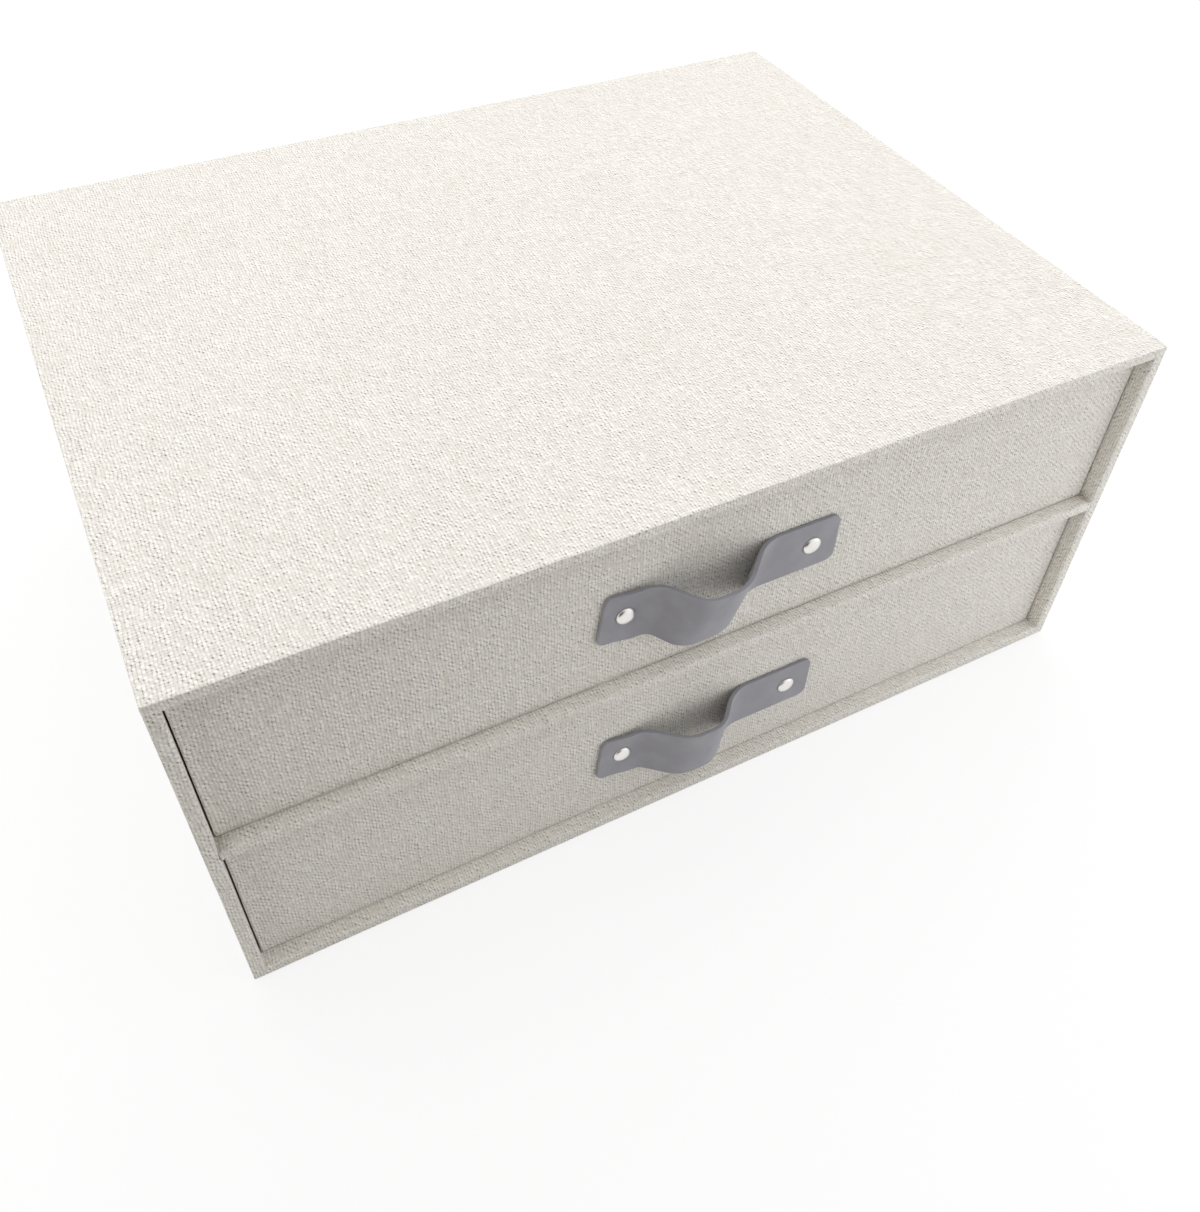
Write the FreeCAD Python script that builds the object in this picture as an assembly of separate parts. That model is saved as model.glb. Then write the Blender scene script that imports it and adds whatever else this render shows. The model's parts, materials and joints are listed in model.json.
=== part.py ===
import FreeCAD, Part
import math
import os

# A desk file box covered in linen book cloth. A greyboard case has two bays, one above the other, and
# each bay holds a tray-like drawer that is pulled out by a riveted leather strap.
#
# Sizes are in millimetres and angles in degrees. The origin is the centre of the case's underside,
# +X points right as seen from the front, +Y to the back and +Z up.

# The case
CASE_WIDTH = 330.0
CASE_DEPTH = 252.0
LOWER_BAY_HEIGHT = 66.7
UPPER_BAY_HEIGHT = 64.8
CASE_BOARD = 3.0
CASE_TURN_IN = 15.0
BASE_SHEET = 0.5
BASE_SHEET_MARGIN = 3.0

# The covering materials
CLOTH = 0.6
PAPER = 0.4

# The drawers
DRAWER_BOARD = 2.5
DRAWER_TURN_IN = 12.0
FRONT_RECESS = 5.5
SIDE_GAP = 0.9
TOP_GAP = 1.7
FLOOR_GAP = 0.3
BACK_GAP = 0.3

# The pull straps. They are set and bent by hand, so the two sit and bow a little differently.
STRAP_LENGTH = 86.0
STRAP_WIDTH = 20.0
STRAP_THICKNESS = 1.5
STRAP_CORNER_RADIUS = 3.5

UPPER_STRAP_SHIFT = 0.3
UPPER_STRAP_HEIGHT = 30.4
UPPER_LOOP_REACH = 13.0
UPPER_LOOP_LEAD = 1.9
UPPER_LOOP_LEFT_SLOPE = 50.0
UPPER_LOOP_CREST = 15.4
UPPER_LOOP_RIGHT_SLOPE = 42.0
UPPER_LEFT_FOOT_RADIUS = 4.0
UPPER_LEFT_CREST_RADIUS = 9.0
UPPER_RIGHT_CREST_RADIUS = 16.0
UPPER_RIGHT_FOOT_RADIUS = 14.0

LOWER_STRAP_SHIFT = 1.9
LOWER_STRAP_HEIGHT = 29.1
LOWER_LOOP_REACH = 12.3
LOWER_LOOP_LEAD = 2.6
LOWER_LOOP_LEFT_SLOPE = 42.0
LOWER_LOOP_CREST = 12.0
LOWER_LOOP_RIGHT_SLOPE = 45.0
LOWER_LEFT_FOOT_RADIUS = 6.5
LOWER_LEFT_CREST_RADIUS = 13.5
LOWER_RIGHT_CREST_RADIUS = 7.0
LOWER_RIGHT_FOOT_RADIUS = 15.0

# The double-cap rivets
RIVET_INSET = 9.75
RIVET_CAP_RADIUS = 3.3
RIVET_CAP_RIM = 0.35
RIVET_CAP_HEIGHT = 1.1
RIVET_POST_RADIUS = 1.5
RIVET_CLEARANCE = 0.1

# What follows from the sizes above
CASE_WALL = CLOTH + CASE_BOARD + CLOTH
CASE_HEIGHT = BASE_SHEET + 3 * CASE_WALL + LOWER_BAY_HEIGHT + UPPER_BAY_HEIGHT

INWARD = {"left": 1, "right": -1, "front": 1, "back": -1, "bottom": 1, "top": -1}
FACING = {"left": "right", "front": "back", "bottom": "top"}
OPPOSITE = {**FACING, **{far: near for near, far in FACING.items()}}


class Block:
    """An upright box, known by the places of its six faces."""

    def __init__(self, left, right, front, back, bottom, top):
        self.left, self.right = left, right
        self.front, self.back = front, back
        self.bottom, self.top = bottom, top

    def moved(self, **places):
        """A copy with the named faces at new places."""
        return Block(**{**vars(self), **places})

    def inset(self, faces, depth):
        """A copy with the named faces moved inwards by one depth."""
        return self.moved(**{face: getattr(self, face) + INWARD[face] * depth for face in faces.split()})

    def layer(self, face, thickness):
        """The slab of this block that lies behind one of its faces."""
        return self.moved(**{OPPOSITE[face]: getattr(self, face) + INWARD[face] * thickness})

    def solid(self):
        """The block as a solid."""
        corner = FreeCAD.Vector(self.left, self.front, self.bottom)
        return Part.makeBox(self.right - self.left, self.back - self.front, self.top - self.bottom, corner)


def joined(first, *others):
    """Several touching shapes as one solid, without the seams between them."""
    return first.fuse(list(others)).removeSplitter()


# The case, from its outside inwards
CASE = Block(-CASE_WIDTH / 2, CASE_WIDTH / 2, -CASE_DEPTH / 2, CASE_DEPTH / 2, BASE_SHEET, CASE_HEIGHT)
CASE_CORE = CASE.inset("left right front back bottom top", CLOTH)
CASE_ROOM = CASE_CORE.inset("left right back bottom top", CASE_BOARD)
CASE_MOUTH = CASE_ROOM.inset("left right bottom top", CLOTH)
TURN_IN_END = CASE.front + CASE_TURN_IN
SHELF_UNDERSIDE = CASE_MOUTH.bottom + LOWER_BAY_HEIGHT
SHELF_TOP = SHELF_UNDERSIDE + CASE_WALL
SHELF = CASE_ROOM.moved(bottom=SHELF_UNDERSIDE + CLOTH, top=SHELF_TOP - CLOTH)
BACK_PANEL = CASE.inset("left right bottom top", CASE_TURN_IN).layer("back", CLOTH)
UNDERSIDE_WINDOW = CASE.inset("left right front back", CASE_TURN_IN).layer("bottom", CLOTH)


def case_boards():
    """The six greyboard panels of the case: the side panels stand between the base and the top."""
    sides = CASE_CORE.inset("bottom top", CASE_BOARD)
    return {
        "case_base_board": CASE_CORE.layer("bottom", CASE_BOARD).solid(),
        "case_top_board": CASE_CORE.layer("top", CASE_BOARD).solid(),
        "case_left_board": sides.layer("left", CASE_BOARD).solid(),
        "case_right_board": sides.layer("right", CASE_BOARD).solid(),
        "case_back_board": sides.inset("left right", CASE_BOARD).layer("back", CASE_BOARD).solid(),
        "case_shelf_board": SHELF.solid(),
    }


def case_outer_cloth():
    """The cloth wrapped round the case, turned into its mouth, onto its back and under its base."""
    skin = CASE.solid().cut(CASE_CORE.solid())
    for opening in (CASE_MOUTH.moved(front=CASE.front), BACK_PANEL, UNDERSIDE_WINDOW):
        skin = skin.cut(opening.solid())
    turn_in = CASE_ROOM.moved(back=TURN_IN_END).solid().cut(CASE_MOUTH.solid())
    return joined(skin, turn_in.cut(SHELF.solid()))


def shelf_edge_cloth():
    """The strip of cloth folded over the front edge of the shelf."""
    strip = CASE_MOUTH.moved(front=CASE.front, back=TURN_IN_END, bottom=SHELF_UNDERSIDE, top=SHELF_TOP)
    return strip.solid().cut(SHELF.solid())


def base_sheet():
    """The sheet pasted under the base, over the turned-in cloth. The box stands on it."""
    return CASE.inset("left right front back", BASE_SHEET_MARGIN).moved(bottom=0, top=CASE.bottom).solid()


def case_coverings():
    """Every sheet on the outside of the case."""
    return {
        "case_outer_cloth": case_outer_cloth(),
        "case_back_cloth": BACK_PANEL.solid(),
        "case_base_sheet": base_sheet(),
        "shelf_edge_cloth": shelf_edge_cloth(),
    }


def lined(room, open_face):
    """A paper lining on every face of a room but one."""
    covered = " ".join(face for face in INWARD if face != open_face)
    return room.solid().cut(room.inset(covered, PAPER).solid())


def bay_linings():
    """The paper that lines each bay, from the end of the turned-in cloth to the back board."""
    room = CASE_ROOM.moved(front=TURN_IN_END)
    return {
        "lower_bay_lining": lined(room.moved(top=SHELF.bottom), "front"),
        "upper_bay_lining": lined(room.moved(bottom=SHELF.top), "front"),
    }


class Pull:
    """Where a strap sits on the front of its drawer, and how its loop is bent."""

    def __init__(self, shift, height, reach, lead, left_slope, crest, right_slope, radii):
        self.shift, self.height = shift, height
        self.reach, self.lead, self.crest = reach, lead, crest
        self.left_slope, self.right_slope = left_slope, right_slope
        self.radii = radii
        self.left, self.right = shift - STRAP_LENGTH / 2, shift + STRAP_LENGTH / 2

    def rivet_places(self):
        """The X of both rivets."""
        return (self.left + RIVET_INSET, self.right - RIVET_INSET)

    def outline(self, flat):
        """The corners of the strap's outer face, seen from above, whose flat ends lie at one Y."""
        crest = flat - self.reach
        left_foot = self.rivet_places()[0] + RIVET_CAP_RADIUS + self.lead
        left_shoulder = left_foot + self.reach / math.tan(math.radians(self.left_slope))
        right_shoulder = left_shoulder + self.crest
        right_foot = right_shoulder + self.reach / math.tan(math.radians(self.right_slope))
        return [
            FreeCAD.Vector(self.left, flat, 0),
            FreeCAD.Vector(left_foot, flat, 0),
            FreeCAD.Vector(left_shoulder, crest, 0),
            FreeCAD.Vector(right_shoulder, crest, 0),
            FreeCAD.Vector(right_foot, flat, 0),
            FreeCAD.Vector(self.right, flat, 0),
        ]


UPPER_PULL = Pull(
    shift=UPPER_STRAP_SHIFT,
    height=UPPER_STRAP_HEIGHT,
    reach=UPPER_LOOP_REACH,
    lead=UPPER_LOOP_LEAD,
    left_slope=UPPER_LOOP_LEFT_SLOPE,
    crest=UPPER_LOOP_CREST,
    right_slope=UPPER_LOOP_RIGHT_SLOPE,
    radii=(
        UPPER_LEFT_FOOT_RADIUS,
        UPPER_LEFT_CREST_RADIUS,
        UPPER_RIGHT_CREST_RADIUS,
        UPPER_RIGHT_FOOT_RADIUS,
    ),
)
LOWER_PULL = Pull(
    shift=LOWER_STRAP_SHIFT,
    height=LOWER_STRAP_HEIGHT,
    reach=LOWER_LOOP_REACH,
    lead=LOWER_LOOP_LEAD,
    left_slope=LOWER_LOOP_LEFT_SLOPE,
    crest=LOWER_LOOP_CREST,
    right_slope=LOWER_LOOP_RIGHT_SLOPE,
    radii=(
        LOWER_LEFT_FOOT_RADIUS,
        LOWER_LEFT_CREST_RADIUS,
        LOWER_RIGHT_CREST_RADIUS,
        LOWER_RIGHT_FOOT_RADIUS,
    ),
)


def rivet_axis_cylinder(x, z, radius, front, back):
    """A cylinder from front to back, along the line of one rivet."""
    return Part.makeCylinder(radius, back - front, FreeCAD.Vector(x, front, z), FreeCAD.Vector(0, 1, 0))


def rivet_cap(x, z, face, outward):
    """A domed rivet cap with a short upright rim, seated on a face and pointing outward along Y."""
    rim_point = FreeCAD.Vector(RIVET_CAP_RADIUS, 0, RIVET_CAP_RIM)
    crown_point = FreeCAD.Vector(0, 0, RIVET_CAP_HEIGHT)
    dome_rise = RIVET_CAP_HEIGHT - RIVET_CAP_RIM
    dome_radius = (RIVET_CAP_RADIUS**2 + dome_rise**2) / (2 * dome_rise)
    lean = math.asin(RIVET_CAP_RADIUS / dome_radius) / 2
    dome_centre = RIVET_CAP_HEIGHT - dome_radius
    middle_height = dome_centre + dome_radius * math.cos(lean)
    middle_point = FreeCAD.Vector(dome_radius * math.sin(lean), 0, middle_height)
    base_centre = FreeCAD.Vector(0, 0, 0)
    base_edge = FreeCAD.Vector(RIVET_CAP_RADIUS, 0, 0)
    outline = Part.Wire([
        Part.LineSegment(base_centre, base_edge).toShape(),
        Part.LineSegment(base_edge, rim_point).toShape(),
        Part.Arc(rim_point, middle_point, crown_point).toShape(),
        Part.LineSegment(crown_point, base_centre).toShape(),
    ])
    cap = Part.Face(outline).revolve(base_centre, FreeCAD.Vector(0, 0, 1), 360)
    turn = FreeCAD.Rotation(FreeCAD.Vector(0, 0, 1), FreeCAD.Vector(0, outward, 0))
    cap.Placement = FreeCAD.Placement(FreeCAD.Vector(x, face, z), turn)
    return cap


def rivet(x, z, front, back):
    """A rivet's front cap with the post that runs back to its other cap."""
    post = rivet_axis_cylinder(x, z, RIVET_POST_RADIUS, front, back)
    return joined(rivet_cap(x, z, front, -1), post)


def bent_path(corners, radii):
    """A flat wire through the corners of a bent strip, with each bend rounded as far as its runs allow."""
    edges = []
    start = corners[0]
    for before, corner, after, radius in zip(corners, corners[1:], corners[2:], radii):
        back_along, on_along = before - corner, after - corner
        half_turn = (math.pi - back_along.getAngle(on_along)) / 2
        longest_trim = 0.45 * min(back_along.Length, on_along.Length)
        trim = min(radius * math.tan(half_turn), longest_trim)
        bend_radius = trim / math.tan(half_turn)
        back_along.normalize()
        on_along.normalize()
        to_centre = (back_along + on_along).normalize()
        entry, leave = corner + back_along * trim, corner + on_along * trim
        middle = corner + to_centre * (bend_radius / math.cos(half_turn) - bend_radius)
        edges.append(Part.LineSegment(start, entry).toShape())
        edges.append(Part.Arc(entry, middle, leave).toShape())
        start = leave
    edges.append(Part.LineSegment(start, corners[-1]).toShape())
    return Part.Wire(edges)


def rounded_plate(left, right, height, corner_radius, front, back, z):
    """An upright plate that faces the front, with its four corners rounded."""
    plate = Part.makeBox(right - left, back - front, height, FreeCAD.Vector(left, front, z - height / 2))
    depth_edges = [edge for edge in plate.Edges if edge.BoundBox.YLength > (back - front) / 2]
    return plate.makeFillet(corner_radius, depth_edges)


def strap(pull, front, z):
    """A leather pull that lies flat on the drawer front at both ends and bows forward between them."""
    flat = front - STRAP_THICKNESS
    section = bent_path(pull.outline(flat), pull.radii).makeOffset2D(-STRAP_THICKNESS, 2, True, True)
    section.translate(FreeCAD.Vector(0, 0, z - STRAP_WIDTH / 2))
    band = section.extrude(FreeCAD.Vector(0, 0, STRAP_WIDTH))
    outline = rounded_plate(
        pull.left, pull.right, STRAP_WIDTH, STRAP_CORNER_RADIUS, flat - pull.reach, front, z
    )
    return band.common(outline)


def drilled(shape, pull, z, front, back):
    """A shape with the two rivet holes of one strap through it."""
    for x in pull.rivet_places():
        shape = shape.cut(rivet_axis_cylinder(x, z, RIVET_POST_RADIUS + RIVET_CLEARANCE, front, back))
    return shape


def drawer(name, bay, pull):
    """All the pieces of one drawer, sized to its bay, with its pull."""
    body = bay.inset("left right", SIDE_GAP).inset("top", TOP_GAP).inset("bottom", FLOOR_GAP)
    body = body.moved(front=CASE.front + FRONT_RECESS, back=CASE_ROOM.back - PAPER - BACK_GAP)
    core = body.inset("left right front back top", CLOTH).inset("bottom", PAPER)
    walls = core.inset("bottom", DRAWER_BOARD)
    sides = walls.inset("front back", DRAWER_BOARD)
    hollow = walls.inset("left right front back", DRAWER_BOARD)
    turn_in_end = body.top - DRAWER_TURN_IN

    skin = body.moved(bottom=core.bottom).solid().cut(core.solid())
    mouth = hollow.inset("left right front back", CLOTH).moved(top=body.top)
    turn_in = hollow.moved(bottom=turn_in_end).solid()
    cloth = joined(skin, turn_in).cut(mouth.solid())
    lining = lined(hollow.moved(top=turn_in_end), "top")

    rivet_xs = pull.rivet_places()
    strap_z = body.bottom + pull.height
    strap_face = body.front - STRAP_THICKNESS
    lining_face = hollow.front + PAPER
    holes = (pull, strap_z, strap_face, lining_face)

    pieces = {
        "front_board": drilled(walls.layer("front", DRAWER_BOARD).solid(), *holes),
        "back_board": walls.layer("back", DRAWER_BOARD).solid(),
        "left_board": sides.layer("left", DRAWER_BOARD).solid(),
        "right_board": sides.layer("right", DRAWER_BOARD).solid(),
        "bottom_board": core.layer("bottom", DRAWER_BOARD).solid(),
        "cloth": drilled(cloth, *holes),
        "lining": drilled(lining, *holes),
        "under_sheet": body.layer("bottom", PAPER).solid(),
        "strap": drilled(strap(pull, body.front, strap_z), *holes),
        "rivets": Part.makeCompound([rivet(x, strap_z, strap_face, lining_face) for x in rivet_xs]),
        "rivet_backs": Part.makeCompound([rivet_cap(x, strap_z, lining_face, 1) for x in rivet_xs]),
    }
    return {f"{name}_drawer_{piece}": shape for piece, shape in pieces.items()}


def all_parts():
    """Every piece of the file box by its name."""
    lower_bay = CASE_MOUTH.moved(top=SHELF_UNDERSIDE)
    upper_bay = CASE_MOUTH.moved(bottom=SHELF_TOP)
    return {
        **case_boards(),
        **case_coverings(),
        **bay_linings(),
        **drawer("lower", lower_bay, LOWER_PULL),
        **drawer("upper", upper_bay, UPPER_PULL),
    }


os.makedirs("parts", exist_ok=True)
for name, shape in all_parts().items():
    shape.exportStep(f"parts/{name}.step")
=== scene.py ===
"""The looks of a linen-covered file box with two drawers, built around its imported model.

Lengths are in metres and angles in degrees. +X points right as seen from the front, +Y to the back
and +Z up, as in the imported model. Each class dresses one sub-assembly or makes one finish.
"""

import json
import logging
import math
from dataclasses import dataclass
from enum import Enum
from typing import Callable

import bmesh
import bpy
from mathutils import Euler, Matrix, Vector, noise


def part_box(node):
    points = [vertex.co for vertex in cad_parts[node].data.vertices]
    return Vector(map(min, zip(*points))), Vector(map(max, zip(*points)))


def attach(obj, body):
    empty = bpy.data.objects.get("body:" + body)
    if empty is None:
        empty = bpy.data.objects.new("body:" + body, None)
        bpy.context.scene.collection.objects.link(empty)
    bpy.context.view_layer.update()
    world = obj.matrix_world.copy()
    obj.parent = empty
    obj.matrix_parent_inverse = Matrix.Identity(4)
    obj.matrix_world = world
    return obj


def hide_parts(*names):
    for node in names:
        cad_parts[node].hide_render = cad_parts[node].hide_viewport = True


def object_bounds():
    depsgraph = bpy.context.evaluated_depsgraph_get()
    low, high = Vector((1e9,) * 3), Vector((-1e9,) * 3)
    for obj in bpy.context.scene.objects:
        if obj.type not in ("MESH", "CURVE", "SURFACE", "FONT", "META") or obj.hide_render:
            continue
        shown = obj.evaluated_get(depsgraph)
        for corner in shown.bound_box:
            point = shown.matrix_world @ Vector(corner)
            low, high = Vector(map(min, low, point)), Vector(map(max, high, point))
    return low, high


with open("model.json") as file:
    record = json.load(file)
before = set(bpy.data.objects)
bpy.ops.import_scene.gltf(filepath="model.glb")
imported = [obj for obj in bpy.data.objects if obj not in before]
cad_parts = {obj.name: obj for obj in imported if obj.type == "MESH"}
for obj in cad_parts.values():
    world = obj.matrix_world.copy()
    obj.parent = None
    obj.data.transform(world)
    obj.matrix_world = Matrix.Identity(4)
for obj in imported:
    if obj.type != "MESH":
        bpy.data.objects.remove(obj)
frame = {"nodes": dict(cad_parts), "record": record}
CAD_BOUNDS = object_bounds()
BOX_MIDDLE = (CAD_BOUNDS[0] + CAD_BOUNDS[1]) / 2

LOG = logging.getLogger("file_box")
MM = 0.001

Piece = bpy.types.Object
Tree = bpy.types.NodeTree
Node = bpy.types.Node
Socket = bpy.types.NodeSocket
Material = bpy.types.Material
Colour = tuple[float, float, float]
Place = tuple[float, float, float]
Flat = tuple[float, float]

WHITE: Colour = (1.0, 1.0, 1.0)
SQUARE: tuple[Flat, ...] = ((-1, -1), (1, -1), (1, 1), (-1, 1))
# The cloth's thickness, its slow waves, how closely its mesh is divided, and what counts as one point.
CLOTH = 0.6 * MM
WAVE_HEIGHT = 0.1 * MM
WAVE_LENGTH = 30 * MM
WAVE_SEED = 1
SPACING = 6 * MM
HOLD = 0.5 * MM
WELD = 0.001 * MM


# ---- node trees


class Graph:
    """Adds nodes to one node tree and links them."""

    def __init__(self, tree: Tree) -> None:
        """Keeps the tree that the nodes go into."""
        self.tree = tree

    def node(self, kind: str, fed: dict[str | int, object] | None = None, **settings: object) -> Node:
        """Adds a node.

        Args:
            kind: The node's type name.
            fed: What feeds its inputs, by their names or numbers.
            **settings: Attributes to set on it, such as an operation.

        Returns:
            The new node.
        """
        node = self.tree.nodes.new(kind)
        for name, value in settings.items():
            setattr(node, name, value)
        for key, value in (fed or {}).items():
            self.feed(node.inputs[key], value)
        return node

    def feed(self, target: Socket, value: object) -> None:
        """Links a socket to an input, or sets the input's own value.

        Args:
            target: The input.
            value: The socket to link, or the value to set.
        """
        if isinstance(value, Socket):
            self.tree.links.new(value, target)
        elif isinstance(value, tuple) and len(value) < len(target.default_value):
            target.default_value = (*value, 1.0)
        else:
            target.default_value = value

    def math(self, operation: str, first: object, second: object = 0.0) -> Socket:
        """Adds a maths node on one or two values and returns its result."""
        return self.node("ShaderNodeMath", {0: first, 1: second}, operation=operation).outputs[0]

    def plus(self, first: object, second: object) -> Socket:
        """Adds two values."""
        return self.math("ADD", first, second)

    def minus(self, first: object, second: object) -> Socket:
        """Takes the second value from the first."""
        return self.math("SUBTRACT", first, second)

    def times(self, first: object, second: object) -> Socket:
        """Multiplies two values."""
        return self.math("MULTIPLY", first, second)

    def swing(self, value: Socket, amount: object) -> Socket:
        """Turns a value that lies round 0.5 into a swing round 0, times an amount."""
        return self.times(self.minus(value, 0.5), amount)

    def step(self, value: object, low: float, high: float) -> Socket:
        """Returns 0 below low, 1 above high and a smooth ramp between them."""
        fed = {"Value": value, "From Min": low, "From Max": high}
        return self.node("ShaderNodeMapRange", fed, interpolation_type="SMOOTHSTEP").outputs["Result"]

    def choose(self, factor: object, first: object, second: object) -> Socket:
        """Returns first where the factor is 0, second where it is 1, and a blend between."""
        return self.node("ShaderNodeMix", {0: factor, 2: first, 3: second}, data_type="FLOAT").outputs[0]

    def blend(self, factor: object, first: object, second: object) -> Socket:
        """Returns the first colour where the factor is 0, the second where it is 1, or a blend."""
        return self.node("ShaderNodeMix", {0: factor, 6: first, 7: second}, data_type="RGBA").outputs[2]

    def split(self, vector: Socket) -> tuple[Socket, Socket, Socket]:
        """Returns the three parts of a vector."""
        return tuple(self.node("ShaderNodeSeparateXYZ", {0: vector}).outputs)

    def vector(self, x: object, y: object = 0.0, z: object = 0.0) -> Socket:
        """Makes a vector from three values."""
        return self.node("ShaderNodeCombineXYZ", {0: x, 1: y, 2: z}).outputs[0]

    def scatter(self, first: Socket, second: Socket, third: object) -> Socket:
        """Returns a random value from 0 to 1 for each set of whole numbers."""
        fed = {"Vector": self.vector(first, second, third)}
        return self.node("ShaderNodeTexWhiteNoise", fed, noise_dimensions="3D").outputs["Value"]

    def noise(self, vector: Socket, scale: object, detail: float, rough: float = 0.5) -> Socket:
        """Adds a noise texture and returns its value, which lies round 0.5."""
        fed = {"Vector": vector, "Scale": scale, "Detail": detail, "Roughness": rough}
        return self.node("ShaderNodeTexNoise", fed).outputs[0]

    def group(self, tree: Tree, **values: object) -> Node:
        """Places a node group and feeds its inputs, whose names have spaces for the underscores."""
        fed = {name.replace("_", " "): value for name, value in values.items()}
        return self.node("ShaderNodeGroup", fed, node_tree=tree)


class ShaderGroup:
    """A shader node group under construction, with named inputs and outputs."""

    def __init__(self, name: str, inputs: dict[str, float], outputs: tuple[str, ...]) -> None:
        """Makes the group's sockets.

        Args:
            name: The group's name.
            inputs: The float inputs and their defaults.
            outputs: The float outputs.
        """
        self.tree = bpy.data.node_groups.new(name, "ShaderNodeTree")
        new_socket, kind = self.tree.interface.new_socket, "NodeSocketFloat"
        for title, default in inputs.items():
            new_socket(title, in_out="INPUT", socket_type=kind).default_value = default
        for title in outputs:
            new_socket(title, in_out="OUTPUT", socket_type=kind)
        self.graph = Graph(self.tree)
        self.given = self.graph.node("NodeGroupInput").outputs
        self.result = self.graph.node("NodeGroupOutput").inputs

    def finish(self, **results: Socket) -> Tree:
        """Links the results to the group's outputs and returns the tree."""
        for name, socket in results.items():
            self.graph.feed(self.result[name], socket)
        return self.tree


@dataclass
class PlainWeave:
    """The plain weave of the book cloth, as a shared node group.

    The weave lies straight on whichever side of the box a point is on. Its threads wander, swell into slubs
    and differ in tone. Shifts are counted in threads. Heights are shares of the tallest crossing's. The gaps
    between the threads carry painted shade, whose depths are shares of the darkest gap's.
    """

    drift: float = 5.0
    drift_scale: float = 40.0
    ripple: float = 2.6
    ripple_scale: float = 260.0
    turned_seed: float = 7.0
    fullness: Flat = (1.0, 0.85)
    middle_height: float = 0.62
    interlacing: float = 0.38
    squareness: float = 0.6
    strand_step: float = 3.7
    slub_scale: float = 0.22
    tone_scale: float = 0.61
    tone_jump: float = 0.22
    fuzz: float = 0.25
    fuzz_scale: float = 2100.0
    # The painted shade in the gaps: its least depth, how rare deep shade is, its share at every other corner,
    # and the heights below which it is full and above which it is gone.
    least_pore_shade: float = 0.12
    pore_shade_rarity: float = 1.4
    lighter_pore_shade: float = 0.62
    shade_full_height: float = 0.2
    shade_clear_height: float = 0.74

    def __post_init__(self) -> None:
        """Starts the group and finds where a point lies on its side of the box."""
        inputs = {"Pitch": 1.0 * MM, "Wander": 0.5, "Slubs": 0.6}
        self.made = ShaderGroup("plain_weave", inputs, ("Height", "Pores", "Tone", "Crossing"))
        self.given, self.graph = self.made.given, self.made.graph
        graph = self.graph
        normal = graph.node("ShaderNodeNewGeometry").outputs["True Normal"]
        facing = [graph.math("ABSOLUTE", part) for part in graph.split(normal)]
        x, y, z = graph.split(graph.node("ShaderNodeTexCoord").outputs["Object"])
        upward = graph.math("GREATER_THAN", facing[2], graph.math("MAXIMUM", facing[0], facing[1]))
        sideways = graph.math("GREATER_THAN", facing[0], graph.math("MAXIMUM", facing[1], facing[2]))
        self.across, self.along = graph.choose(sideways, x, y), graph.choose(upward, z, y)
        self.side = graph.plus(sideways, graph.times(upward, 2.0))

    def build(self) -> Tree:
        """Builds the weave.

        Returns:
            A group that puts out the weave's height, a mask of painted shade in the gaps between the threads,
            the tone of each thread, and which of the two directions is on top.
        """
        graph = self.graph
        self.count_threads()
        self.interlace()
        fuzz = graph.noise(graph.vector(self.across, self.along, self.side), self.fuzz_scale, 2.0)
        height = graph.plus(graph.math("MAXIMUM", *self.heights), graph.swing(fuzz, self.fuzz))
        crossing = graph.math("GREATER_THAN", self.heights[1], self.heights[0])
        jump = graph.swing(graph.scatter(*self.threads, self.side), self.tone_jump)
        tone = graph.plus(graph.choose(crossing, *self.tones), jump)
        return self.made.finish(Height=height, Pores=self.painted_pore_shade(height), Tone=tone, Crossing=crossing)

    def count_threads(self) -> None:
        """Counts the threads of both directions up to a point, with their wandering."""
        graph, self.counts = self.graph, []
        turned = graph.plus(self.side, self.turned_seed)
        for lead, seed in ((self.across, self.side), (self.along, turned)):
            drift = graph.noise(graph.vector(self.across, self.along, seed), self.drift_scale, 1.0)
            ripple = graph.noise(graph.vector(self.along, self.across, seed), self.ripple_scale, 2.0)
            shift = graph.plus(graph.swing(drift, self.drift), graph.swing(ripple, self.ripple))
            shift = graph.times(shift, self.given["Wander"])
            self.counts.append(graph.plus(graph.math("DIVIDE", lead, self.given["Pitch"]), shift))
        self.threads = [graph.math("FLOOR", count) for count in self.counts]

    def interlace(self) -> None:
        """Passes the two directions over and under each other, and finds their heights and tones."""
        graph, self.heights, self.tones = self.graph, [], []
        waves = [graph.math("SINE", graph.times(count, math.pi)) for count in self.counts]
        for index, over in enumerate((self.interlacing, -self.interlacing)):
            other = 1 - index
            run = graph.times(self.counts[other], self.slub_scale)
            strand = graph.vector(graph.times(self.threads[index], self.strand_step), run, float(index))
            swell = graph.swing(graph.noise(strand, 1.0, 2.0), self.given["Slubs"])
            self.tones.append(graph.noise(strand, self.tone_scale, 3.0, 0.7))
            crown = graph.math("POWER", graph.math("ABSOLUTE", waves[index]), self.squareness)
            crown = graph.times(crown, graph.plus(self.fullness[index], swell))
            rise = graph.times(waves[other], graph.math("SIGN", waves[index]))
            lift = graph.plus(self.middle_height, graph.times(rise, over))
            self.heights.append(graph.times(crown, lift))

    def painted_pore_shade(self, height: Socket) -> Socket:
        """Paints shade into the gap at each corner between threads, of a depth that differs by chance.

        Args:
            height: The weave's height.

        Returns:
            How deep in the painted shade a point is, from 0 to 1.
        """
        graph = self.graph
        corners = [graph.math("ROUND", count) for count in self.counts]
        # Painted shade: each gap is darkened by a chance amount, lighter at every other corner, and only
        # where the weave lies low.
        chance = graph.math("POWER", graph.scatter(*corners, self.side), self.pore_shade_rarity)
        depth = graph.plus(self.least_pore_shade, graph.times(chance, 1 - self.least_pore_shade))
        every_other = graph.math("PINGPONG", graph.plus(*corners), 1.0)
        depth = graph.times(depth, graph.choose(every_other, 1.0, self.lighter_pore_shade))
        gaps = graph.minus(1.0, graph.step(height, self.shade_full_height, self.shade_clear_height))
        return graph.times(gaps, depth)


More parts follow.
